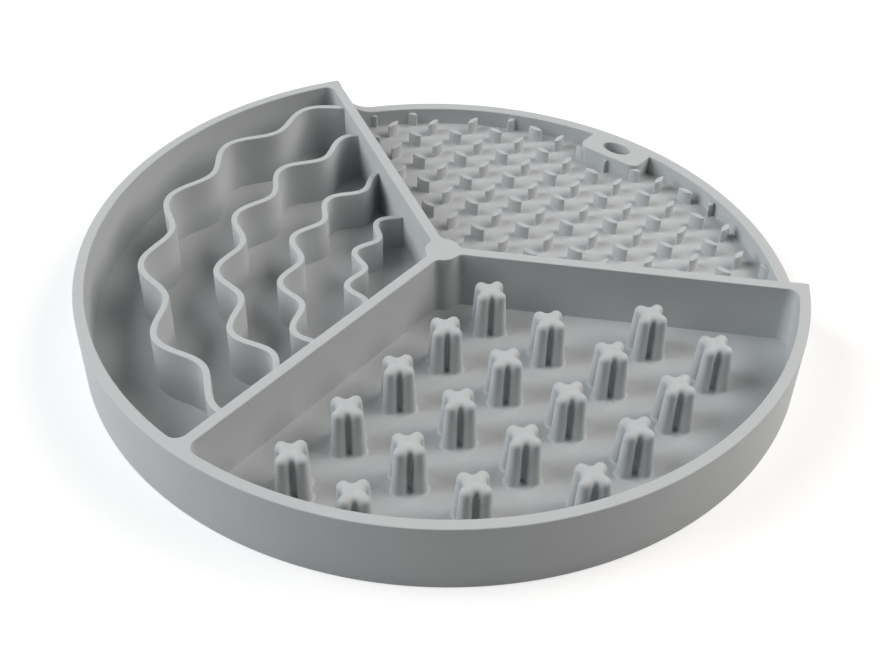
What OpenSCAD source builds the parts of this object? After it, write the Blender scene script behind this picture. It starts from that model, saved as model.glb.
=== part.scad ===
// Slow feeder bowl: a round soft moulding with two deep compartments and a shallow one.
// The origin lies on the underside at the bowl's axis, +Z is up and +Y points to the hanging tab.
// The floor, the walls, the dividers and what stands on the floor are closed solids of their own,
// which meet face to face where the real moulding runs on.

/* [Bowl] */
// Outer diameter
bowl_d = 200; // [185:1:260]
// Height of the rim round the two deep compartments
deep_h = 20; // [16:0.5:40]
// Height of the rim round the lick compartment
low_h = 8; // [7:0.5:12]
// Thickness of the floor
floor_t = 2.2; // [1.2:0.1:4]
// Thickness of the deep wall
deep_wall_t = 3; // [2:0.1:5]
// Thickness of the low wall
low_wall_t = 3.6; // [2:0.1:5]
// Radius of the upright corners between a divider and the deep wall
corner_r = 3; // [1:0.5:6]
// Thickness left at the top where the low rim sweeps up to the deep rim
sweep_lip = 0.4; // [0.2:0.1:1]
// How far the sweep's round would dip below the low rim, so that its toe ends in a clean edge
sweep_bite = 0.15; // [0.1:0.05:0.5]

/* [Dividers] */
// Thickness of a divider
divider_t = 3.1; // [2:0.1:5]
// Diameter of the round post where the dividers meet
hub_d = 10; // [8:0.5:16]
// Radius of the blend between the post and a divider
hub_blend_r = 2; // [0.5:0.5:4]

/* [Hanging tab] */
// Width of the tab along the wall
tab_w = 22; // [16:0.5:30]
// How far the tab reaches in from the low wall
tab_reach = 9.4; // [8:0.2:14]
// Radius of the tab's two free corners
tab_corner_r = 3; // [1:0.5:5]
// Length of the hanging hole along the wall
hole_len = 9.6; // [7:0.2:12]
// Width of the hanging hole
hole_w = 5.6; // [4:0.2:6.4]
// Web of silicone between the hanging hole and the low wall
hole_web = 0.6; // [0.4:0.1:1.2]

/* [Wave ribs] */
// Thickness of a rib
rib_t = 1.8; // [1:0.1:3]
// Depth of the outermost rib's top below the deep rim
rib_drop = 1; // [0:0.5:3]
// Step down from each rib to the next one in
rib_step = 2.15; // [0:0.05:3]
// Gap from the deep wall to the first rib, then from each rib to the next, along the middle
rib_gap = [16.6, 20.5, 17.8, 18.1]; // [12:0.1:24]
// Radius of the arc that each rib follows
rib_arc_r = [86, 74, 59, 50.3]; // [40:0.1:120]
// Shift of each arc's centre towards the lick compartment
rib_shift = [3.8, 3.3, -0.6, 0.2]; // [-5:0.1:5]
// Height of each rib's waves, from the arc to a crest
rib_wave_a = [3.1, 2.95, 2.55, 2.3]; // [0:0.05:4]
// Length of one wave of each rib
rib_wave_len = [31, 25.7, 20.4, 15.2]; // [12:0.1:40]
// Where in its wave each rib crosses the middle of the compartment, in degrees
rib_phase = [189, 188, 195, 195]; // [0:1:360]

/* [Cross studs] */
// Distance between neighbouring studs
stud_pitch = 19.5; // [17:0.1:28]
// Place along X from which the columns of studs are counted
stud_column_x = -1.6; // [-9:0.1:9]
// Place of one row of studs along Y
stud_row_y = -1.6; // [-9:0.1:9]
// Depth of a stud's top below the deep rim
stud_drop = 3.7; // [0:0.1:6]
// Distance from the stud's axis to the middle of a lobe, at the floor and at the top
stud_lobe_at = [3.6, 3.2]; // [2:0.1:5]
// Radius of a lobe, at the floor and at the top
stud_lobe_r = [2, 1.6]; // [1:0.1:3]
// Radius of the core between the lobes, at the floor and at the top
stud_core_r = [2.2, 2]; // [1.5:0.1:4]
// Depth of the saddle between the lobes' tops
stud_saddle = 0.5; // [0:0.1:2]
// Least clearance from a stud's foot to a wall or divider
stud_clear = 0.6; // [0.4:0.1:4]

/* [Licking nubs] */
// Distance between neighbouring nubs
nub_pitch = 9.7; // [8:0.1:14]
// Place of one row of nubs along Y
nub_row_y = 39.5; // [35:0.5:45]
// Length of a nub's leaf shape
nub_len = 5.4; // [3:0.1:7]
// Thickness of a nub's leaf shape
nub_t = 1.8; // [1:0.1:2.6]
// Depth of a nub's top below the low rim
nub_drop = 1.4; // [0:0.1:3]
// How far a nub's middle may lie inside a wall that it grows out of
nub_root = 1.1; // [0:0.1:1.1]

/* [Hidden] */
$fn = 96;
silicone = [0.66, 0.675, 0.68];
outer_r = bowl_d / 2;
inner_r = outer_r - deep_wall_t;
low_inner_r = outer_r - low_wall_t;
hub_r = hub_d / 2;
far = 3 * outer_r;
wave_mid = 210;
lick_mid = 90;
stud_mid = 330;
// Half of the angle that a compartment takes up
half_angle = 60;

tab_front = low_inner_r - tab_reach;
hole_y = low_inner_r - hole_web - hole_w / 2;

function polar(r, a) = r * [cos(a), sin(a)];
// Distance of a point from the facing side of a divider at the given angle; side is 1 or -1
function past_divider(p, angle, side) = side * (p * polar(1, angle + 90)) - divider_t / 2;
// Room between a point and the nearest divider of the compartment whose middle is at mid
function divider_room(p, mid) = min(
    past_divider(p, mid - half_angle, 1),
    past_divider(p, mid + half_angle, -1));

// Upright solid on the floor with the given height above it
module on_floor(h) {
    translate([0, 0, floor_t]) linear_extrude(h) children();
}

// Wedge between the facing sides of a compartment's two dividers
module divider_wedge(mid) {
    tip = polar(divider_t / 2 / sin(half_angle), mid);
    polygon([tip, tip + polar(far, mid - half_angle), tip + polar(far, mid + half_angle)]);
}

module ring(r_in) {
    difference() {
        circle(outer_r);
        circle(r_in);
    }
}

module hanging_hole(h) {
    translate([0, hole_y, 0]) scale([hole_len / hole_w, 1, 1]) cylinder(h = h, d = hole_w);
}

module base_disc() {
    color(silicone) difference() {
        cylinder(h = floor_t, r = outer_r, $fn = 180);
        translate([0, 0, -floor_t]) hanging_hole(3 * floor_t);
    }
}

// Fills the upright corner between a divider at angle 0 and the deep wall, on the +Y side
module corner_blend() {
    into_wall = deep_wall_t / 2;
    centre_y = divider_t / 2 + corner_r;
    centre = [sqrt(pow(inner_r - corner_r, 2) - pow(centre_y, 2)), centre_y];
    difference() {
        polygon([
            [centre.x, divider_t / 2],
            [sqrt(pow(inner_r + into_wall, 2) - pow(divider_t / 2, 2)), divider_t / 2],
            centre * (inner_r + into_wall) / (inner_r - corner_r),
            centre]);
        translate(centre) circle(corner_r);
    }
}

// Deep wall from the lick side of the divider at 150 degrees to the middle of the one at 270
module deep_wall() {
    end_angle = wave_mid - half_angle;
    lick_side = polar(divider_t / 2, end_angle - 90);
    on_floor(deep_h - floor_t) {
        intersection() {
            ring(inner_r, $fn = 180);
            polygon([
                lick_side,
                lick_side + polar(far, end_angle),
                polar(2 * far, wave_mid),
                [0, -far],
                [0, 0]]);
        }
        rotate(wave_mid - half_angle) corner_blend();
        rotate(wave_mid + half_angle) mirror([0, 1]) corner_blend();
    }
}

module wave_wall() {
    color(silicone) deep_wall();
}

module stud_wall() {
    color(silicone) mirror([1, 0, 0]) deep_wall();
}

module lick_wall() {
    color(silicone) on_floor(low_h - floor_t) intersection() {
        ring(low_inner_r, $fn = 180);
        divider_wedge(lick_mid);
    }
}

// Quarter round on the low rim that rises to the deep rim, beside a divider at angle 0
module rim_sweep() {
    sweep_r = deep_h - low_h + sweep_bite;
    face = divider_t / 2;
    difference() {
        translate([0, 0, low_h]) linear_extrude(deep_h - low_h) intersection() {
            ring(low_inner_r, $fn = 180);
            translate([0, face]) square([far, sweep_lip + sweep_r]);
        }
        translate([0, face + sweep_lip + sweep_r, deep_h]) rotate([0, 90, 0]) cylinder(h = far, r = sweep_r);
    }
}

module wave_rim_sweep() {
    color(silicone) rotate(lick_mid + half_angle) mirror([0, 1, 0]) rim_sweep();
}

module stud_rim_sweep() {
    color(silicone) rotate(lick_mid - half_angle) rim_sweep();
}

// Fills the angle between the round post and a divider at angle 0, on the +Y side
module hub_blend() {
    centre_y = divider_t / 2 + hub_blend_r;
    centre = [sqrt(pow(hub_r + hub_blend_r, 2) - pow(centre_y, 2)), centre_y];
    difference() {
        polygon([
            [hub_r / 2, divider_t / 2],
            [centre.x, divider_t / 2],
            centre,
            centre * hub_r / (hub_r + hub_blend_r) / 2]);
        translate(centre) circle(hub_blend_r);
    }
}

module hub_post() {
    color(silicone) on_floor(deep_h - floor_t) {
        circle(hub_r);
        for (mid = [wave_mid, lick_mid, stud_mid]) rotate(mid + half_angle) {
            hub_blend();
            mirror([0, 1]) hub_blend();
        }
    }
}

// Straight divider from the post to the deep wall
module divider(angle) {
    color(silicone) on_floor(deep_h - floor_t) rotate(angle) difference() {
        intersection() {
            translate([0, -divider_t / 2]) square([outer_r, divider_t]);
            circle(inner_r, $fn = 180);
        }
        circle(hub_r);
    }
}

module wave_lick_divider() {
    divider(wave_mid - half_angle);
}

module wave_stud_divider() {
    divider(wave_mid + half_angle);
}

module stud_lick_divider() {
    divider(lick_mid - half_angle);
}

// A rib is a wave laid along a circular arc, which runs from divider to divider
rib_count = len(rib_gap);
rib_steps_per_wave = 16;
rib_overrun = 8;
// Step either way, in degrees, over which a rib's direction is taken
rib_slope_step = 0.1;
function sum_to(list, k) = k < 0 ? 0 : list[k] + sum_to(list, k - 1);
function rib_reach(k) = inner_r - sum_to(rib_gap, k);
function rib_top(k) = deep_h - rib_drop - k * rib_step;
function rib_back(k) = rib_arc_r[k] - rib_reach(k);
function rib_centre(k) = polar(rib_back(k), wave_mid + 180) + polar(rib_shift[k], wave_mid - 90);
function rib_half_span(k) =
    half_angle - asin(rib_back(k) * sin(half_angle) / rib_arc_r[k]) + rib_overrun;
function degrees_of(arc, r) = arc / r * 180 / PI;
function rib_point(k, a) =
    rib_centre(k) + polar(
        rib_arc_r[k] + rib_wave_a[k] * sin(360 * a / degrees_of(rib_wave_len[k], rib_arc_r[k]) + rib_phase[k]),
        wave_mid + a);
function rib_side(k, a, side) =
    let (along = rib_point(k, a + rib_slope_step) - rib_point(k, a - rib_slope_step))
    rib_point(k, a) + side * rib_t / 2 * [-along.y, along.x] / norm(along);

module wave_rib(k) {
    span = rib_half_span(k);
    step = degrees_of(rib_wave_len[k], rib_arc_r[k]) / rib_steps_per_wave;
    stops = ceil(span / step);
    color(silicone) on_floor(rib_top(k) - floor_t) intersection() {
        polygon(concat(
            [for (i = [-stops : stops]) rib_side(k, i * step, 1)],
            [for (i = [-stops : stops]) rib_side(k, -i * step, -1)]));
        divider_wedge(wave_mid);
    }
}

// Studs stand on a square grid, wherever a whole stud has room in its compartment
stud_h = deep_h - stud_drop - floor_t;
stud_foot_r = stud_lobe_at[0] + stud_lobe_r[0];
stud_reach = ceil(outer_r / stud_pitch);
function stud_at(spot) = stud_pitch * [spot.y, -spot.x] + [stud_column_x, stud_row_y];
function stud_room(p) = min(inner_r - norm(p), divider_room(p, stud_mid), norm(p) - hub_r);
stud_spots = [
    for (row = [-stud_reach : stud_reach], column = [0 : stud_reach])
        if (stud_room(stud_at([row, column])) >= stud_foot_r + stud_clear) [row, column]];
first_stud_row = min([for (spot = stud_spots) spot.x]);
function stud_name(spot) = str("cross_stud_", spot.x - first_stud_row + 1, "_", spot.y);

module stud_lobe() {
    below = floor_t;
    rise = stud_h - stud_lobe_r[1];
    lean = atan((stud_lobe_at[0] - stud_lobe_at[1]) / rise);
    slope = (stud_lobe_r[0] - stud_lobe_r[1]) / rise;
    translate([stud_lobe_at[1], 0, rise]) {
        sphere(stud_lobe_r[1]);
        rotate([0, 180 - lean, 0])
            cylinder(h = rise + below, r1 = stud_lobe_r[1], r2 = stud_lobe_r[1] + slope * (rise + below));
    }
}

module cross_stud(spot) {
    at = stud_at(spot);
    color(silicone) translate([at.x, at.y, floor_t]) difference() {
        union() {
            cylinder(h = stud_h - stud_saddle, r1 = stud_core_r[0], r2 = stud_core_r[1]);
            for (quarter = [0 : 3]) rotate(90 * quarter) stud_lobe();
        }
        translate([-stud_pitch / 2, -stud_pitch / 2, -2 * floor_t]) cube([stud_pitch, stud_pitch, 2 * floor_t]);
    }
}

module tab_plan() {
    free = tab_w / 2 - tab_corner_r;
    intersection() {
        union() {
            translate([-tab_w / 2, tab_front + tab_corner_r]) square([tab_w, outer_r]);
            translate([-free, tab_front]) square([2 * free, outer_r]);
            for (side = [-1, 1]) translate([side * free, tab_front + tab_corner_r]) circle(tab_corner_r);
        }
        circle(low_inner_r, $fn = 180);
    }
}

module hanging_tab() {
    color(silicone) difference() {
        on_floor(low_h - floor_t) tab_plan();
        hanging_hole(2 * low_h);
    }
}

// Nubs stand on a square grid with their long sides along X and Y by turns
nub_h = low_h - nub_drop - floor_t;
nub_reach = ceil(outer_r / nub_pitch);
nub_edge_r = (pow(nub_len, 2) + pow(nub_t, 2)) / (4 * nub_t);
function nub_at(spot) = nub_pitch * [spot.y, spot.x] + [0, nub_row_y];
function tab_room(p) = max(tab_front - p.y, abs(p.x) - tab_w / 2);
function nub_room(p) = min(low_inner_r - norm(p), divider_room(p, lick_mid), tab_room(p));
function nub_fits(spot) =
    nub_room(nub_at(spot)) >= -nub_root && norm(nub_at(spot)) > hub_r + hub_blend_r + nub_len / 2;
nub_spots = [
    for (row = [-nub_reach : nub_reach], column = [-nub_reach : nub_reach])
        if (nub_fits([row, column])) [row, column]];
first_nub_row = min([for (spot = nub_spots) spot.x]);
last_nub_row = max([for (spot = nub_spots) spot.x]);
function lick_row_name(row) = str("lick_row_", row - first_nub_row + 1);

module nub_leaf() {
    intersection_for (side = [-1, 1]) translate([0, side * (nub_edge_r - nub_t / 2)]) circle(nub_edge_r);
}

module lick_row(row) {
    color(silicone) on_floor(nub_h) difference() {
        intersection() {
            for (spot = nub_spots) if (spot.x == row)
                translate(nub_at(spot)) rotate((spot.x + spot.y) % 2 == 0 ? 0 : 90) nub_leaf();
            divider_wedge(lick_mid);
            circle(low_inner_r, $fn = 180);
        }
        tab_plan();
    }
}

base_disc();
wave_wall();
stud_wall();
lick_wall();
wave_rim_sweep();
stud_rim_sweep();
hub_post();
wave_lick_divider();
wave_stud_divider();
stud_lick_divider();
hanging_tab();
for (k = [0 : rib_count - 1])
    wave_rib(k);
for (spot = stud_spots)
    cross_stud(spot);
for (row = [first_nub_row : last_nub_row])
    lick_row(row);
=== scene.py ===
import math

import bmesh
import bpy
import numpy as np
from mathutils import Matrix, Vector


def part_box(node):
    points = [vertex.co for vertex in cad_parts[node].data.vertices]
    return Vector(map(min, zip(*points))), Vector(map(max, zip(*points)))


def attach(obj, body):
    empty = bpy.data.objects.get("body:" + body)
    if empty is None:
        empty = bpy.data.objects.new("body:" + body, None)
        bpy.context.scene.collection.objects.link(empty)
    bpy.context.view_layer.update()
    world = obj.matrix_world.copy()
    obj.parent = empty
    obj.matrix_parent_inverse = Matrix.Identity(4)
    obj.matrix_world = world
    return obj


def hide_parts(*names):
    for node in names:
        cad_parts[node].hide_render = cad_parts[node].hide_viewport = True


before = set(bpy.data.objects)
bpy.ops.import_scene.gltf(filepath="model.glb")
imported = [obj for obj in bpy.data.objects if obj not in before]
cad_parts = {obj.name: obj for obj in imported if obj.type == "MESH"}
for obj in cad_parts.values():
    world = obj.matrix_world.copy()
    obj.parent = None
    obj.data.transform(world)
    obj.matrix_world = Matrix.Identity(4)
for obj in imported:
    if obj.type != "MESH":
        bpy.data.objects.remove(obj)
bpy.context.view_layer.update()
mm = 0.001


# Silicone compound
# One batch of soft grey silicone rubber fills the whole mould, so every piece wears this finish:
# a matte skin with a faint cloudiness, a fine grain from the blasted mould and a little dust.
class Wire:
    """A socket of a node tree. Sums written with wires add the Math nodes that work them out."""

    def __init__(self, tree, socket):
        self.tree = tree
        self.socket = socket

    @classmethod
    def node(cls, tree, kind, settings=None, sockets=None, output=0):
        """Adds a node, sets its settings, then fills its sockets with values or with other wires."""
        made = tree.nodes.new(kind)
        for name, value in (settings or {}).items():
            setattr(made, name, value)
        for key, value in (sockets or {}).items():
            if isinstance(value, Wire):
                tree.links.new(value.socket, made.inputs[key])
            else:
                made.inputs[key].default_value = value
        return cls(tree, made.outputs[output])

    def output(self, key):
        return Wire(self.tree, self.socket.node.outputs[key])

    def math(self, operation, *others):
        values = dict(enumerate((self, *others)))
        return Wire.node(self.tree, "ShaderNodeMath", {"operation": operation}, values)

    def __add__(self, other):
        return self.math("ADD", other)

    __radd__ = __add__

    def __mul__(self, other):
        return self.math("MULTIPLY", other)

    __rmul__ = __mul__

    def __sub__(self, other):
        return self.math("SUBTRACT", other)

    def __rsub__(self, other):
        return (self * -1).math("ADD", other)

    def __truediv__(self, other):
        return self.math("DIVIDE", other)


grey_clear = (0.466, 0.483, 0.489, 1.0)
grey_cloudy = (0.420, 0.438, 0.445, 1.0)
cloud_size = 34 * mm
cloud_detail = 3.0
cloud_share = 0.6
smear_size = 11 * mm
smear_detail = 4.0
smear_share = 0.25
grain_size = 0.45 * mm
grain_detail = 2.0
grain_share = 0.15
grain_depth = 0.012 * mm
grain_strength = 0.6
noise_roughness = 0.55
noise_middle = 0.5
cloud_contrast = 1.6
skin_roughness = 0.56
smear_gloss = 0.16
grain_gloss = 0.10
silicone_ior = 1.41
dust_sheen = 0.06
dust_sheen_roughness = 0.5
# Numbers of the sockets of a colour Mix node, whose names are not unique.
mix_factor = 0
mix_first_colour = 6
mix_second_colour = 7
mix_colour_out = 2


def silicone_finish():
    """The finish of the whole bowl: two greys that cloud into each other, a grain and a dusty sheen."""
    made = bpy.data.materials.new("grey_silicone")
    made.use_nodes = True
    tree = made.node_tree
    skin = tree.nodes["Principled BSDF"]
    place = Wire.node(tree, "ShaderNodeTexCoord").output("Object")

    def noise(size, detail):
        sockets = {"Vector": place, "Scale": 1 / size, "Detail": detail, "Roughness": noise_roughness}
        return Wire.node(tree, "ShaderNodeTexNoise", None, sockets)

    cloud = noise(cloud_size, cloud_detail)
    smear = noise(smear_size, smear_detail)
    grain = noise(grain_size, grain_detail)
    mottle = cloud * cloud_share + smear * smear_share + grain * grain_share
    cloudiness = (mottle - noise_middle) * cloud_contrast + noise_middle
    mix = {mix_factor: cloudiness, mix_first_colour: grey_clear, mix_second_colour: grey_cloudy}
    colour = Wire.node(tree, "ShaderNodeMix", {"data_type": "RGBA"}, mix, mix_colour_out)
    tree.links.new(colour.socket, skin.inputs["Base Color"])
    roughness = skin_roughness + (smear - noise_middle) * smear_gloss + (grain - noise_middle) * grain_gloss
    tree.links.new(roughness.socket, skin.inputs["Roughness"])
    bump = {"Height": grain, "Distance": grain_depth, "Strength": grain_strength}
    tree.links.new(Wire.node(tree, "ShaderNodeBump", None, bump).socket, skin.inputs["Normal"])
    skin.inputs["IOR"].default_value = silicone_ior
    skin.inputs["Sheen Weight"].default_value = dust_sheen
    skin.inputs["Sheen Roughness"].default_value = dust_sheen_roughness
    return made


silicone = silicone_finish()


# Floor
# The flat round silicone floor that everything stands on, pressed in the lower half of the mould. Its lower
# edge is slightly rounded and the oval hanging hole goes through it.
floor_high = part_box("base_disc")[1]
bowl_r = floor_high.x
floor_top = floor_high.z
hole_len = 9.6 * mm
hole_w = 5.6 * mm
hole_web = 0.6 * mm
low_wall_t = 3.6 * mm
low_inner_r = bowl_r - low_wall_t
hole_y = low_inner_r - hole_web - hole_w / 2
under_edge_r = 0.3 * mm
hole_edge_r = under_edge_r / 2
arc_step = 1.5
corner_step = 12
hole_step = 6
round_turns = (0, 30, 60, 90)
straight_turn = 1e-7
sharp_angle = math.radians(35)


def polar(radius, degrees):
    """A point of the plan at a distance and a bearing from the bowl's axis."""
    return np.array((radius * math.cos(math.radians(degrees)), radius * math.sin(math.radians(degrees))))


def arc(centre, radius, start, end, step):
    """Points of an arc with both its ends, in degrees."""
    count = max(2, math.ceil(abs(end - start) / step) + 1)
    return [np.array(centre) + polar(radius, angle) for angle in np.linspace(start, end, count)]


def moved_out(runs, offsets):
    """A closed plan outline of (kind, points) runs, with each side moved out by the offset of its kind."""
    corners = [(kind, point) for kind, points in runs for point in points[:-1]]
    moved = []
    for i, (kind, here) in enumerate(corners):
        last_kind, before = corners[i - 1]
        after = corners[(i + 1) % len(corners)][1]
        sides = np.array((here - before, after - here))
        sides /= np.linalg.norm(sides, axis=1)[:, None]
        (ax, ay), (bx, by) = np.stack((sides[:, 1], -sides[:, 0]), axis=1)
        a, b = offsets[last_kind], offsets[kind]
        turn = ax * by - ay * bx
        if abs(turn) < straight_turn:
            moved.append(here + np.array((ax, ay)) * a)
        else:
            moved.append(here + np.array((a * by - b * ay, b * ax - a * bx)) / turn)
    return moved


def upright_mesh(name, outlines, levels):
    """Closed mesh from plan outlines (the first is outside, others are holes) and (z, offsets) levels."""
    shape = bmesh.new()
    ends = {0: [], len(levels) - 1: []}
    for runs in outlines:
        rings = []
        for z, offsets in levels:
            rings.append([shape.verts.new((*point, z)) for point in moved_out(runs, offsets)])
        for lower, upper in zip(rings, rings[1:]):
            for i in range(len(lower)):
                shape.faces.new((lower[i - 1], lower[i], upper[i], upper[i - 1]))
        for level in ends:
            ends[level].append(rings[level])
    for level, rings in ends.items():
        if len(rings) == 1:
            shape.faces.new(rings[0])
            continue
        loops = [shape.edges.get((ring[i - 1], ring[i])) for ring in rings for i in range(len(ring))]
        bmesh.ops.triangle_fill(shape, use_beauty=True, edges=loops)
    bmesh.ops.recalc_face_normals(shape, faces=shape.faces)
    mesh = bpy.data.meshes.new(name)
    shape.to_mesh(mesh)
    shape.free()
    return mesh


def moulded(name, mesh, *nodes):
    """Puts a finished mesh on the bowl in the silicone finish, where it stands for its nodes."""
    piece = bpy.data.objects.new(name, mesh)
    bpy.context.scene.collection.objects.link(piece)
    mesh.materials.clear()
    mesh.materials.append(silicone)
    mesh.shade_smooth()
    mesh.set_sharp_from_angle(angle=sharp_angle)
    even = piece.modifiers.new("even_shading", "WEIGHTED_NORMAL")
    even.keep_sharp = True
    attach(piece, "root")
    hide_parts(*nodes)


def hanging_hole(kind):
    """Outline of the oval hanging hole, clockwise."""
    stretch = np.array((hole_len / hole_w, 1))
    oval = [point * stretch + (0, hole_y) for point in arc((0, 0), hole_w / 2, 360, 0, hole_step)]
    return [(kind, oval)]


floor_levels = []
for turn in round_turns:
    rise = under_edge_r * (1 - math.cos(math.radians(turn)))
    draw = 1 - math.sin(math.radians(turn))
    floor_levels.append((rise, {"edge": -under_edge_r * draw, "hole": -hole_edge_r * draw}))
floor_levels.append((floor_top, {"edge": 0, "hole": 0}))
floor_plan = [[("edge", arc((0, 0), bowl_r, 0, 360, arc_step))], hanging_hole("hole")]
moulded("floor", upright_mesh("floor", floor_plan, floor_levels), "base_disc")


# Deep walls
# Two tall arcs of silicone wall, one round the wave ribs and one round the studs, moulded in one with the
# floor. They meet at the front divider, their inner faces run round into the dividers, and their back ends
# stand square above the low wall.
deep_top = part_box("wave_wall")[1].z
deep_wall_t = 3 * mm
inner_r = bowl_r - deep_wall_t
divider_t = 3.1 * mm
corner_r = 3 * mm
rim_edge_r = 0.3 * mm
foot_r = 0.05 * mm
face = divider_t / 2
corner_y = face + corner_r
corner_x = math.sqrt((inner_r - corner_r) ** 2 - corner_y ** 2)
corner_turn = math.degrees(math.atan2(corner_y, corner_x))
# Bearings of the dividers in degrees from +X.
stud_lick_angle = 30
wave_lick_angle = 150
wave_stud_angle = 270


def soft_levels(top):
    """Levels from the floor to a rim. A face has a small fillet at its foot and a small round at its top,
    a rim has only the round, and a butt end, which meets another piece, has neither."""
    levels = []
    for turn in round_turns:
        out = foot_r * (1 - math.sin(math.radians(turn)))
        z = floor_top + foot_r * (1 - math.cos(math.radians(turn)))
        levels.append((z, {"face": out, "rim": 0, "butt": 0}))
    for turn in round_turns:
        draw = -rim_edge_r * (1 - math.cos(math.radians(turn)))
        z = top - rim_edge_r * (1 - math.sin(math.radians(turn)))
        levels.append((z, {"face": draw, "rim": draw, "butt": 0}))
    return levels


def turned(points, degrees, side=1):
    """Points drawn for a divider along +X, with +Y as its side, moved to the divider at an angle."""
    along, across = polar(1, degrees), polar(side, degrees + 90)
    return [x * along + y * across for x, y in points]


def deep_wall_plan():
    """Outline of the wall round the wave ribs, from the back divider to the front one, anticlockwise."""
    back, front = wave_lick_angle, wave_stud_angle
    corner = arc((corner_x, corner_y), corner_r, -90, corner_turn, corner_step)
    outside = arc((0, 0), bowl_r, back - math.degrees(math.asin(face / bowl_r)), front, arc_step)
    front_corner = turned(corner, front, -1)
    inside = arc((0, 0), inner_r, front - corner_turn, back + corner_turn, arc_step)
    back_corner = turned(corner, back)[::-1]
    front_cut = [outside[-1], np.array((0, -corner_x)), front_corner[0]]
    end_xs = (corner_x, math.sqrt(low_inner_r ** 2 - face ** 2), math.sqrt(bowl_r ** 2 - face ** 2))
    end_face = turned([(x, -face) for x in end_xs], back)
    return [
        ("rim", outside),
        ("butt", front_cut),
        ("face", front_corner + inside[1:] + back_corner[1:]),
        ("butt", [back_corner[-1], end_face[0]]),
        ("face", end_face[:2]),
        ("butt", end_face[1:]),
    ]


def mirrored(runs):
    """The same outline on the other side of the bowl, still anticlockwise."""
    flip = np.array((-1, 1))
    return [(kind, [point * flip for point in points[::-1]]) for kind, points in runs[::-1]]


for name, node, plan in (
    ("wave_wall_skin", "wave_wall", deep_wall_plan()),
    ("stud_wall_skin", "stud_wall", mirrored(deep_wall_plan())),
):
    moulded(name, upright_mesh(name, [plan], soft_levels(deep_top)), node)


# Dividers and hub
# Three straight silicone dividers run from a round post in the middle to the deep walls, moulded in one
# with them. Small concave rounds lead from the post into each divider.
hub_r = 5 * mm
hub_blend_r = 2 * mm
blend_y = face + hub_blend_r
blend_x = math.sqrt((hub_r + hub_blend_r) ** 2 - blend_y ** 2)
blend_turn = math.degrees(math.atan2(blend_y, blend_x))
compartment_turn = 120
divider_angles = {
    "wave_lick_divider": wave_lick_angle,
    "wave_stud_divider": wave_stud_angle,
    "stud_lick_divider": stud_lick_angle,
}

for node, angle in divider_angles.items():
    corners = turned([(blend_x, -face), (corner_x, -face), (corner_x, face), (blend_x, face)], angle)
    sides = zip(("face", "butt", "face", "butt"), corners, corners[1:] + corners[:1])
    plan = [(kind, [start, end]) for kind, start, end in sides]
    moulded(f"{node}_skin", upright_mesh(node, [plan], soft_levels(deep_top)), node)


def hub_plan():
    """Outline of the post: per compartment a round out of one divider, the post and a round into the next."""
    runs = []
    blend = arc((blend_x, blend_y), hub_blend_r, -90, blend_turn - 180, corner_step)
    for angle in sorted(divider_angles.values()):
        leave = turned(blend, angle)
        next_angle = angle + compartment_turn
        post = arc((0, 0), hub_r, angle + blend_turn, next_angle - blend_turn, corner_step)
        reach = turned(blend, next_angle, -1)[::-1]
        runs.append(("face", leave + post[1:] + reach[1:]))
        runs.append(("butt", [reach[-1], turned(blend, next_angle)[0]]))
    return runs


moulded("hub_post_skin", upright_mesh("hub_post", [hub_plan()], soft_levels(deep_top)), "hub_post")


# Low wall
# The silicone wall round the licking nubs, moulded on the floor and less than half as high as the deep
# walls. At both its ends the rim sweeps up in a quarter round to the deep rim.
low_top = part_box("lick_wall")[1].z
sweep_r = deep_top - low_top
sweep_lip = 0.05 * mm
sweep_len = sweep_lip + sweep_r
sweep_steps = 14


def cut_angle(radius):
    """Angle past a divider at which a circle meets the plane where the sweep ends."""
    return math.degrees(math.asin((face + sweep_len) / radius))


def low_wall_plan():
    """Outline of the low wall from one sweep to the other, anticlockwise."""
    right, left = stud_lick_angle, wave_lick_angle
    outside = arc((0, 0), bowl_r, right + cut_angle(bowl_r), left - cut_angle(bowl_r), arc_step)
    inner_cut = cut_angle(low_inner_r)
    inside = arc((0, 0), low_inner_r, left - inner_cut, right + inner_cut, arc_step)
    return [
        ("rim", outside),
        ("butt", [outside[-1], inside[0]]),
        ("face", inside),
        ("butt", [inside[-1], outside[0]]),
    ]


def sweep_mesh(name, degrees, side):
    """Band of the low wall beside a divider, whose top climbs a quarter circle to the deep rim."""
    stations = [(0.0, deep_top)]
    for turn in np.linspace(0, math.pi / 2, sweep_steps):
        stations.append((sweep_len - sweep_r * math.cos(turn), deep_top - sweep_r * math.sin(turn)))
    shape = bmesh.new()
    sections = []
    for past, top in stations:
        y = face + past
        x_in = math.sqrt(low_inner_r ** 2 - y ** 2)
        x_out = math.sqrt(bowl_r ** 2 - y ** 2)
        levels = soft_levels(top)
        section = [(x_in - offsets["face"], z) for z, offsets in levels]
        section += [(x_out + offsets["rim"], z) for z, offsets in levels[::-1]]
        spots = turned([(x, y) for x, z in section], degrees, side)
        sections.append([shape.verts.new((*spot, z)) for spot, (x, z) in zip(spots, section)])
    for here, there in zip(sections, sections[1:]):
        for i in range(len(here)):
            shape.faces.new((here[i - 1], here[i], there[i], there[i - 1]))
    shape.faces.new(sections[0])
    shape.faces.new(sections[-1])
    bmesh.ops.recalc_face_normals(shape, faces=shape.faces)
    mesh = bpy.data.meshes.new(name)
    shape.to_mesh(mesh)
    shape.free()
    return mesh


moulded("lick_wall_skin", upright_mesh("lick_wall", [low_wall_plan()], soft_levels(low_top)), "lick_wall")
moulded("wave_rim_sweep_skin", sweep_mesh("wave_rim_sweep", wave_lick_angle, -1), "wave_rim_sweep")
moulded("stud_rim_sweep_skin", sweep_mesh("stud_rim_sweep", stud_lick_angle, 1), "stud_rim_sweep")


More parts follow.
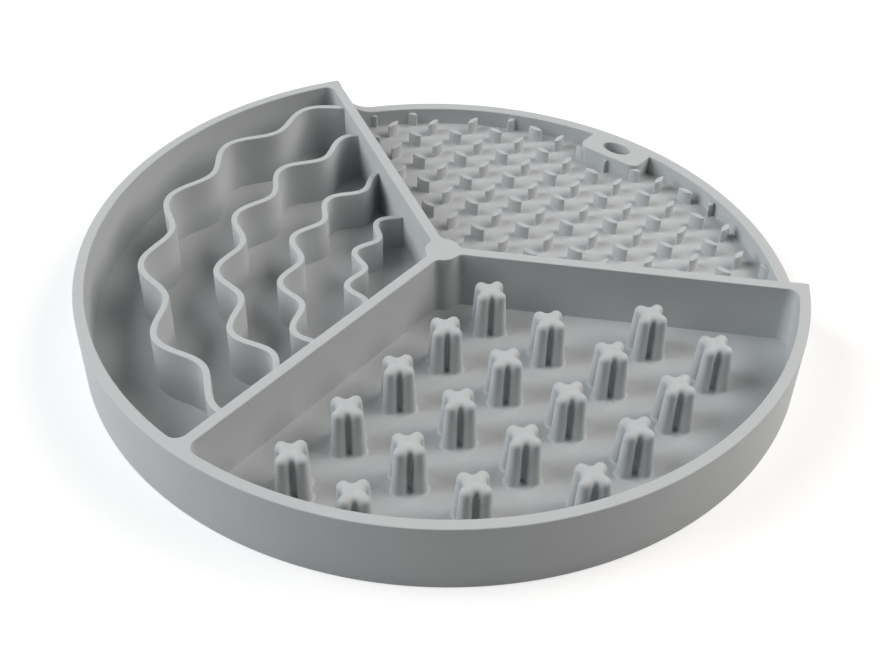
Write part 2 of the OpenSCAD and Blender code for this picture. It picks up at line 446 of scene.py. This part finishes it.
# Hanging tab
# A thick silicone pad that grows out of the low wall, level with its rim, round the oval hole.
# The bowl is hung up to dry by it.
tab_w = 22 * mm
tab_reach = 9.4 * mm
tab_front = low_inner_r - tab_reach
tab_corner_r = 3 * mm


def tab_plan():
    """Outline of the tab. Its back lies in the low wall, behind the round of the wall's edge."""
    free = tab_w / 2 - tab_corner_r
    back_r = low_inner_r + rim_edge_r
    end = math.degrees(math.acos(tab_w / 2 / back_r))
    left = arc((-free, tab_front + tab_corner_r), tab_corner_r, 180, 270, corner_step)
    right = arc((free, tab_front + tab_corner_r), tab_corner_r, 270, 360, corner_step)
    back = arc((0, 0), back_r, end, 180 - end, arc_step)
    return [("face", [back[-1], *left, *right, back[0]]), ("butt", back)]


tab_mesh = upright_mesh("hanging_tab", [tab_plan(), hanging_hole("rim")], soft_levels(low_top))
moulded("hanging_tab_skin", tab_mesh, "hanging_tab")


# Wave ribs
# Four thin upright silicone ribs, moulded on the floor, cross the left compartment from divider to divider.
# Each is a wave laid along an arc, with shorter waves and a lower top than the one outside it.
rib_t = 1.8 * mm
# One value for each rib, from the outside in.
rib_gaps = [16.6 * mm, 20.5 * mm, 17.8 * mm, 18.1 * mm]
rib_arc_r = [86 * mm, 74 * mm, 59 * mm, 50.3 * mm]
rib_shift = [3.8 * mm, 3.3 * mm, -0.6 * mm, 0.2 * mm]
rib_wave_a = [3.1 * mm, 2.95 * mm, 2.55 * mm, 2.3 * mm]
rib_wave_len = [31 * mm, 25.7 * mm, 20.4 * mm, 15.2 * mm]
rib_phase = [189, 188, 195, 195]
rib_stops_per_wave = 24
rib_search_turn = 75
rib_halvings = 40
wave_mid = 210


def node_group(name, inputs):
    """A geometry tree with named inputs; gives the tree and a wire from each input."""
    tree = bpy.data.node_groups.new(name, "GeometryNodeTree")
    tree.interface.new_socket("Geometry", in_out="OUTPUT", socket_type="NodeSocketGeometry")
    for label, kind in inputs.items():
        tree.interface.new_socket(label, in_out="INPUT", socket_type=f"NodeSocket{kind}")
    entry = Wire.node(tree, "NodeGroupInput")
    return tree, {label: entry.output(label) for label in inputs}


def end_group(tree, geometry):
    """Closes a geometry tree: single mesh, silicone finish, group output."""
    whole = Wire.node(tree, "GeometryNodeRealizeInstances", None, {"Geometry": geometry})
    finish = {"Geometry": whole, "Material": silicone}
    dressed = Wire.node(tree, "GeometryNodeSetMaterial", None, finish)
    out = tree.nodes.new("NodeGroupOutput")
    tree.links.new(dressed.socket, out.inputs["Geometry"])


def grown_mesh(name, tree, values):
    """Runs a geometry tree with the given input values and gives back a plain mesh."""
    carrier = bpy.data.objects.new(name, bpy.data.meshes.new(name))
    bpy.context.scene.collection.objects.link(carrier)
    grower = carrier.modifiers.new("grow", "NODES")
    grower.node_group = tree
    for item in tree.interface.items_tree:
        if item.in_out == "INPUT":
            grower[item.identifier] = values[item.name]
    depsgraph = bpy.context.evaluated_depsgraph_get()
    mesh = bpy.data.meshes.new_from_object(carrier.evaluated_get(depsgraph))
    bpy.data.objects.remove(carrier)
    return mesh


def rib_group():
    """Geometry tree of a rib: a section swept along a wave that follows an arc."""
    inputs = {"Section": "Object", "Stops": "Int", "Start": "Float", "End": "Float", "Arc radius": "Float",
              "Centre X": "Float", "Centre Y": "Float", "Wave height": "Float", "Wave length": "Float",
              "Phase": "Float"}
    tree, given = node_group("wavy_rib", inputs)
    stops = Wire.node(tree, "GeometryNodeMeshLine", None, {"Count": given["Stops"]})
    index = Wire.node(tree, "GeometryNodeInputIndex")
    angle = given["Start"] + (given["End"] - given["Start"]) * index / (given["Stops"] - 1)
    wave = (angle * given["Arc radius"] * (2 * math.pi) / given["Wave length"] + given["Phase"]).math("SINE")
    radius = given["Arc radius"] + given["Wave height"] * wave
    bearing = angle + math.radians(wave_mid)
    x = given["Centre X"] + radius * bearing.math("COSINE")
    y = given["Centre Y"] + radius * bearing.math("SINE")
    spot = Wire.node(tree, "ShaderNodeCombineXYZ", None, {"X": x, "Y": y})
    path = Wire.node(tree, "GeometryNodeSetPosition", None, {"Geometry": stops, "Position": spot})
    path = Wire.node(tree, "GeometryNodeMeshToCurve", None, {"Mesh": path})
    path = Wire.node(tree, "GeometryNodeSetCurveNormal", {"mode": "Z_UP"}, {"Curve": path})
    section = Wire.node(tree, "GeometryNodeObjectInfo", None, {"Object": given["Section"]}).output("Geometry")
    swept = {"Curve": path, "Profile Curve": section, "Fill Caps": True}
    end_group(tree, Wire.node(tree, "GeometryNodeCurveToMesh", None, swept))
    return tree


def rib_section(top):
    """Closed upright section of a rib: a flared foot, straight flanks and a rounded top."""
    levels = soft_levels(top)
    half = [(rib_t / 2 + offsets["face"], z) for z, offsets in levels]
    points = half + [(-x, z) for x, z in half[::-1]]
    outline = bpy.data.curves.new("rib_section", "CURVE")
    line = outline.splines.new("POLY")
    line.points.add(len(points) - 1)
    for knot, (x, z) in zip(line.points, points):
        knot.co = (x, -z, 0, 1)
    line.use_cyclic_u = True
    section = bpy.data.objects.new("rib_section", outline)
    bpy.context.scene.collection.objects.link(section)
    return section


def rib_end(k, centre, divider_angle, towards):
    """Angle along a rib's arc at which its line reaches the middle of a divider."""
    across = polar(1, divider_angle + 90)
    inside, outside = 0.0, towards * math.radians(rib_search_turn)
    for _ in range(rib_halvings):
        angle = (inside + outside) / 2
        wave = math.sin(2 * math.pi * angle * rib_arc_r[k] / rib_wave_len[k] + math.radians(rib_phase[k]))
        point = centre + polar(rib_arc_r[k] + rib_wave_a[k] * wave, wave_mid + math.degrees(angle))
        if (point @ across) * towards < 0:
            inside = angle
        else:
            outside = angle
    return inside


rib_tree = rib_group()
for k in range(len(rib_gaps)):
    node = f"wave_rib_{k + 1}"
    reach = inner_r - sum(rib_gaps[:k + 1])
    centre = polar(rib_arc_r[k] - reach, wave_mid + 180) + polar(rib_shift[k], wave_mid - 90)
    start = rib_end(k, centre, wave_lick_angle, -1)
    end = rib_end(k, centre, wave_stud_angle, 1)
    section = rib_section(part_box(node)[1].z)
    waves = (end - start) * rib_arc_r[k] / rib_wave_len[k]
    values = {"Section": section, "Stops": round(waves * rib_stops_per_wave), "Start": start, "End": end,
              "Arc radius": rib_arc_r[k], "Centre X": centre[0], "Centre Y": centre[1],
              "Wave height": rib_wave_a[k], "Wave length": rib_wave_len[k],
              "Phase": math.radians(rib_phase[k])}
    moulded(f"{node}_skin", grown_mesh(node, rib_tree, values), node)
    bpy.data.objects.remove(section)


# Cross studs
# Free-standing silicone studs on a square grid in the right compartment, moulded on the floor. Each is four
# leaning lobes with domed tops round a common core, thicker at the foot, so that it pulls out of the mould.
stud_pitch = 19.5 * mm
stud_column_x = -1.6 * mm
stud_row_y = -1.6 * mm
stud_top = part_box("cross_stud_2_1")[1].z
stud_h = stud_top - floor_top
# Pairs give a value at the foot and at the top.
stud_lobe_at = (3.6 * mm, 3.17 * mm)
stud_lobe_r = (2.0 * mm, 1.63 * mm)
stud_core_r = (2.1 * mm, 2.0 * mm)
stud_saddle = 0.4 * mm
stud_clear = 0.6 * mm
lobe_blend = (0.9 * mm, 2.15 * mm)
lobe_blend_power = 4
core_edge_r = 0.9 * mm
stud_foot_blend = 0.7 * mm
stud_foot_zs = [0.01 * mm, 0.08 * mm, 0.25 * mm, 0.5 * mm, 0.9 * mm, 1.5 * mm, 2.5 * mm]
stud_flank_low = 4 * mm
stud_flank_rings = 8
stud_heart_drop = 1.3 * mm
stud_dome_lift = 84
stud_dome_rings = 12
stud_sides = 72
stud_waist_stops = 2881
stud_halvings = 30


def blended(a, b, reach):
    """Distance to two joined shapes with a soft fillet between them."""
    near = np.maximum(reach - np.abs(a - b), 0) / reach
    return np.minimum(a, b) - near ** 2 * reach / 4


def stud_distance(x, y, z):
    """Distance from points to the skin of a stud whose foot is at the origin; negative inside."""
    x, y = np.abs(x), np.abs(y)
    lobe_rise = stud_h - stud_lobe_r[1]
    share = np.clip(z / lobe_rise, 0, 1)
    at = stud_lobe_at[0] + (stud_lobe_at[1] - stud_lobe_at[0]) * share
    lobe = stud_lobe_r[0] + (stud_lobe_r[1] - stud_lobe_r[0]) * share
    dome = np.maximum(z - lobe_rise, 0)
    along_x = np.sqrt((x - at) ** 2 + y ** 2 + dome ** 2) - lobe
    along_y = np.sqrt((y - at) ** 2 + x ** 2 + dome ** 2) - lobe
    core = stud_core_r[0] + (stud_core_r[1] - stud_core_r[0]) * share
    out = np.hypot(x, y) - core + core_edge_r
    up = z - (stud_h - stud_saddle) + core_edge_r
    corner = np.hypot(np.maximum(out, 0), np.maximum(up, 0))
    middle = np.minimum(np.maximum(out, up), 0) + corner - core_edge_r
    softness = np.clip(z / stud_h, 0, 1) ** lobe_blend_power
    reach = lobe_blend[0] + (lobe_blend[1] - lobe_blend[0]) * softness
    stud = blended(blended(along_x, along_y, reach), middle, reach)
    return blended(stud, z, stud_foot_blend)


def stud_skin(heart, direction):
    """Points of the skin along rays from the stud's axis, found by halving."""
    near = np.zeros(len(direction))
    far = np.full(len(direction), stud_pitch / 2)
    for _ in range(stud_halvings):
        middle = (near + far) / 2
        outside = stud_distance(*(heart + direction * middle[:, None]).T) > 0
        far = np.where(outside, middle, far)
        near = np.where(outside, near, middle)
    return heart + direction * near[:, None]


def level_rays(angles, lift=0.0):
    """Directions all round the stud's axis, lifted from the level by an angle."""
    flat = math.cos(lift)
    rise = np.full(len(angles), math.sin(lift))
    return np.stack((np.cos(angles) * flat, np.sin(angles) * flat, rise), axis=1)


def stud_object():
    """One stud: rings of points up its flanks, then rings that close over its top."""
    fine = np.linspace(0, 2 * math.pi, stud_waist_stops)
    waist = stud_skin(np.array((0, 0, stud_h / 2)), level_rays(fine))
    walk = np.concatenate(((0,), np.cumsum(np.linalg.norm(np.diff(waist, axis=0), axis=1))))
    angles = np.interp(np.arange(stud_sides) / stud_sides * walk[-1], walk, fine)
    heart = np.array((0, 0, stud_h - stud_saddle - stud_heart_drop))
    flank_zs = stud_foot_zs + list(np.linspace(stud_flank_low, heart[2], stud_flank_rings))
    rings = [stud_skin(np.array((0, 0, z)), level_rays(angles)) for z in flank_zs]
    # The lowest ring is found just above the floor and then set down on it.
    rings[0][:, 2] = 0
    for lift in np.radians(np.linspace(0, stud_dome_lift, stud_dome_rings + 1)[1:]):
        rings.append(stud_skin(heart, level_rays(angles, lift)))
    shape = bmesh.new()
    rings = [[shape.verts.new(point) for point in ring] for ring in rings]
    for lower, upper in zip(rings, rings[1:]):
        for i in range(stud_sides):
            shape.faces.new((lower[i - 1], lower[i], upper[i], upper[i - 1]))
    shape.faces.new(rings[0])
    crown = shape.verts.new(stud_skin(heart, level_rays(angles[:1], math.pi / 2))[0])
    for i in range(stud_sides):
        shape.faces.new((rings[-1][i - 1], rings[-1][i], crown))
    bmesh.ops.recalc_face_normals(shape, faces=shape.faces)
    mesh = bpy.data.meshes.new("stud")
    shape.to_mesh(mesh)
    shape.free()
    stud = bpy.data.objects.new("stud", mesh)
    bpy.context.scene.collection.objects.link(stud)
    return stud


def spot_wires(tree, pitch, columns, rows, middle):
    """A grid of points in a geometry tree, with wires for the place of each."""
    size = {"Size X": pitch * (columns - 1), "Size Y": pitch * (rows - 1), "Vertices X": columns,
            "Vertices Y": rows}
    grid = Wire.node(tree, "GeometryNodeMeshGrid", None, size)
    grid = Wire.node(tree, "GeometryNodeSetPosition", None, {"Geometry": grid, "Offset": middle})
    place = Wire.node(tree, "GeometryNodeInputPosition")
    place = Wire.node(tree, "ShaderNodeSeparateXYZ", None, {"Vector": place})
    return grid, place.output("X"), place.output("Y")


def distance_out(x, y):
    """How far a point lies from the bowl's axis."""
    return (x * x + y * y).math("SQRT")


def past_divider(x, y, angle, side):
    """How far a point lies past the facing side of a divider."""
    across = polar(side, angle + 90)
    return x * across[0] + y * across[1] - face


def stud_group():
    """Geometry tree of the studs: one on each grid point that has room for it in the compartment."""
    tree, given = node_group("stud_field", {"Stud": "Object", "Pitch": "Float", "Least room": "Float"})
    columns, rows = 5, 11
    middle = (stud_pitch * (columns + 1) / 2 + stud_column_x, stud_row_y, floor_top)
    grid, x, y = spot_wires(tree, given["Pitch"], columns, rows, middle)
    out = distance_out(x, y)
    room = (inner_r - out).math("MINIMUM", out - hub_r)
    room = room.math("MINIMUM", past_divider(x, y, wave_stud_angle, 1))
    room = room.math("MINIMUM", past_divider(x, y, stud_lick_angle, -1))
    fits = room.math("GREATER_THAN", given["Least room"])
    stud = Wire.node(tree, "GeometryNodeObjectInfo", None, {"Object": given["Stud"]}).output("Geometry")
    placed = {"Points": grid, "Selection": fits, "Instance": stud}
    end_group(tree, Wire.node(tree, "GeometryNodeInstanceOnPoints", None, placed))
    return tree


stud_nodes = sorted(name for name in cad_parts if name.startswith("cross_stud"))
stud = stud_object()
stud_values = {"Stud": stud, "Pitch": stud_pitch, "Least room": stud_lobe_at[0] + stud_lobe_r[0] + stud_clear}
moulded("cross_studs", grown_mesh("cross_studs", stud_group(), stud_values), *stud_nodes)
bpy.data.objects.remove(stud)


# Licking nubs
# Small leaf-shaped silicone blades on a finer grid in the back compartment, moulded on the floor and set
# along and across by turns. Those at the edges grow out of the wall, the dividers and the hanging tab.
nub_pitch = 9.7 * mm
nub_row_y = 39.5 * mm
nub_len = 5.4 * mm
nub_t = 1.8 * mm
nub_tip_t = 0.3 * mm
nub_leaf_stops = 3
nub_root = 1.1 * mm
nub_bury = 1.2 * mm
nub_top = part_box("lick_row_5")[1].z
nub_edge_r = 0.16 * mm
nub_draft = 0.1 * mm
nub_foot_r = 0.12 * mm


def nub_object():
    """One nub: a leaf with blunt tips, slightly thicker at the foot."""
    leaf_r = (nub_len ** 2 + nub_t ** 2) / (4 * nub_t)
    half = math.degrees(math.asin((nub_len / 2 - nub_tip_t) / leaf_r))
    lower = arc((0, leaf_r - nub_t / 2), leaf_r, -90 - half, -90 + half, half / nub_leaf_stops)
    upper = arc((0, nub_t / 2 - leaf_r), leaf_r, 90 - half, 90 + half, half / nub_leaf_stops)
    plan = [("leaf", lower + upper + lower[:1])]
    levels = [(floor_top, {"leaf": nub_draft + nub_foot_r}), (floor_top + nub_foot_r, {"leaf": nub_draft}),
              (nub_top - nub_edge_r, {"leaf": 0}), (nub_top, {"leaf": -nub_edge_r})]
    nub = bpy.data.objects.new("nub", upright_mesh("nub", [plan], levels))
    bpy.context.scene.collection.objects.link(nub)
    return nub


def nub_group():
    """Geometry tree of the nubs: one on each grid point, with those at the edges partly buried."""
    inputs = {"Nub": "Object", "Pitch": "Float", "Root": "Float", "Bury": "Float"}
    tree, given = node_group("nub_field", inputs)
    columns, rows = 21, 21
    grid, x, y = spot_wires(tree, given["Pitch"], columns, rows, (0, nub_row_y, 0))
    out = distance_out(x, y)
    tab_room = (tab_front - y).math("MAXIMUM", x.math("ABSOLUTE") - tab_w / 2)
    room = (low_inner_r - out).math("MINIMUM", tab_room)
    room = room.math("MINIMUM", past_divider(x, y, stud_lick_angle, 1))
    room = room.math("MINIMUM", past_divider(x, y, wave_lick_angle, -1))
    fits = room.math("GREATER_THAN", given["Root"] * -1)
    fits = fits * out.math("GREATER_THAN", hub_r + hub_blend_r + nub_len / 2)
    column = (x / given["Pitch"]).math("ROUND")
    row = ((y - nub_row_y) / given["Pitch"]).math("ROUND")
    across = (column + row).math("FLOORED_MODULO", 2.0)
    turn = Wire.node(tree, "ShaderNodeCombineXYZ", None, {"Z": across * (math.pi / 2)})
    turn = Wire.node(tree, "FunctionNodeEulerToRotation", None, {"Euler": turn})
    nub = Wire.node(tree, "GeometryNodeObjectInfo", None, {"Object": given["Nub"]}).output("Geometry")
    placed = {"Points": grid, "Selection": fits, "Instance": nub, "Rotation": turn}
    nubs = Wire.node(tree, "GeometryNodeInstanceOnPoints", None, placed)
    nubs = Wire.node(tree, "GeometryNodeRealizeInstances", None, {"Geometry": nubs})
    for angle, side in ((stud_lick_angle, 1), (wave_lick_angle, -1)):
        sunk = (past_divider(x, y, angle, side) * -1 - given["Bury"]).math("MAXIMUM", 0.0)
        back = polar(side, angle + 90)
        draw = {"X": sunk * back[0], "Y": sunk * back[1]}
        draw = Wire.node(tree, "ShaderNodeCombineXYZ", None, draw)
        nubs = Wire.node(tree, "GeometryNodeSetPosition", None, {"Geometry": nubs, "Offset": draw})
    sunk = (out - low_inner_r - given["Bury"]).math("MAXIMUM", 0.0) * -1
    draw = Wire.node(tree, "ShaderNodeCombineXYZ", None, {"X": sunk * x / out, "Y": sunk * y / out})
    nubs = Wire.node(tree, "GeometryNodeSetPosition", None, {"Geometry": nubs, "Offset": draw})
    in_tab = (tab_w / 2 - x.math("ABSOLUTE")).math("GREATER_THAN", given["Bury"])
    sunk = (y - tab_front - given["Bury"]).math("MAXIMUM", 0.0) * in_tab * -1
    draw = Wire.node(tree, "ShaderNodeCombineXYZ", None, {"Y": sunk})
    nubs = Wire.node(tree, "GeometryNodeSetPosition", None, {"Geometry": nubs, "Offset": draw})
    end_group(tree, nubs)
    return tree


nub_nodes = sorted(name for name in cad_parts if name.startswith("lick_row"))
nub = nub_object()
nub_values = {"Nub": nub, "Pitch": nub_pitch, "Root": nub_root, "Bury": nub_bury}
moulded("lick_nubs", grown_mesh("lick_nubs", nub_group(), nub_values), *nub_nodes)
bpy.data.objects.remove(nub)


# Studio
# A pale table top between a tall cool softbox on the left and a wide warm one on the right. The table and
# the backdrop also glow white, but only to the camera and in reflections. The camera stands where the picture
# was taken from.
camera_turn = 37.46
camera_rise = 39.566
camera_far = 350.29 * mm
camera_roll = 1.49
camera_lens = 49.55
camera_sensor = 36.0
camera_shift_y = -0.0232
camera_near = 10 * mm
softbox_far = 1.2


def on_bearing(turn, rise, far):
    """A point round the bowl: turn 0 is in front on -Y, and rise is the height in degrees."""
    turn, rise = math.radians(turn), math.radians(rise)
    return Vector((math.sin(turn) * math.cos(rise), -math.cos(turn) * math.cos(rise), math.sin(rise))) * far


lens = bpy.data.cameras.new("camera")
lens.lens = camera_lens
lens.sensor_width = camera_sensor
lens.shift_y = camera_shift_y
lens.clip_start = camera_near
camera = bpy.data.objects.new("camera", lens)
bpy.context.scene.collection.objects.link(camera)
camera.location = on_bearing(camera_turn, camera_rise, camera_far)
camera.rotation_euler = (-camera.location).to_track_quat("-Z", "Y").to_euler()
camera.rotation_euler.rotate_axis("Z", math.radians(camera_roll))
bpy.context.scene.camera = camera

for name, turn, rise, width, height, power, colour in (
    ("left_softbox", camera_turn - 84, 36, 0.85, 1.1, 16.2, (0.95, 0.973, 1.0)),
    ("right_softbox", camera_turn + 98, 42, 1.1, 0.9, 15.4, (1.0, 0.959, 0.914)),
):
    lamp = bpy.data.lights.new(name, "AREA")
    lamp.shape = "RECTANGLE"
    lamp.size = width
    lamp.size_y = height
    lamp.energy = power
    lamp.color = colour
    light = bpy.data.objects.new(name, lamp)
    bpy.context.scene.collection.objects.link(light)
    light.location = on_bearing(turn, rise, softbox_far)
    light.rotation_euler = (-light.location).to_track_quat("-Z", "Y").to_euler()


def seen_rays(tree):
    """1 for rays that show a thing to the camera, straight or in a reflection, and 0 for other rays."""
    rays = Wire.node(tree, "ShaderNodeLightPath")
    seen = rays.output("Is Camera Ray") + rays.output("Is Glossy Ray") + rays.output("Is Transmission Ray")
    return seen.math("MINIMUM", 1.0)


world = bpy.data.worlds.new("studio")
world.use_nodes = True
white_seen = seen_rays(world.node_tree)
world.node_tree.links.new(white_seen.socket, world.node_tree.nodes["Background"].inputs["Color"])
bpy.context.scene.world = world

table_size = 6.0
table_gap = 0.05 * mm
table_grey = (0.50, 0.50, 0.50, 1.0)
near_glow = 0.55
near_glow_r = 0.25
far_glow_r = 0.8
table_mesh = bpy.data.meshes.new("table")
half = table_size / 2
table_corners = [(x, y, -table_gap) for x, y in ((-half, -half), (half, -half), (half, half), (-half, half))]
table_mesh.from_pydata(table_corners, [], [(0, 1, 2, 3)])
table = bpy.data.objects.new("table", table_mesh)
bpy.context.scene.collection.objects.link(table)


def table_finish():
    """A matte grey that takes the shadow, with a glow to the camera that is white away from the bowl."""
    made = bpy.data.materials.new("pale_table")
    made.use_nodes = True
    tree = made.node_tree
    tree.nodes.clear()
    matte = Wire.node(tree, "ShaderNodeBsdfDiffuse", None, {"Color": table_grey})
    place = Wire.node(tree, "ShaderNodeTexCoord").output("Object")
    far = Wire.node(tree, "ShaderNodeVectorMath", {"operation": "LENGTH"}, {0: place}, "Value")
    fade = {"Value": far, "From Min": near_glow_r, "From Max": far_glow_r, "To Min": near_glow, "To Max": 1.0}
    fade = Wire.node(tree, "ShaderNodeMapRange", {"interpolation_type": "SMOOTHSTEP"}, fade)
    glow = Wire.node(tree, "ShaderNodeEmission", None, {"Color": fade})
    bright = Wire.node(tree, "ShaderNodeAddShader", None, {0: matte, 1: glow})
    shown = Wire.node(tree, "ShaderNodeMixShader", None, {0: seen_rays(tree), 1: matte, 2: bright})
    out = tree.nodes.new("ShaderNodeOutputMaterial")
    tree.links.new(shown.socket, out.inputs["Surface"])
    return made


table_mesh.materials.append(table_finish())
bpy.context.scene.view_settings.view_transform = "Standard"
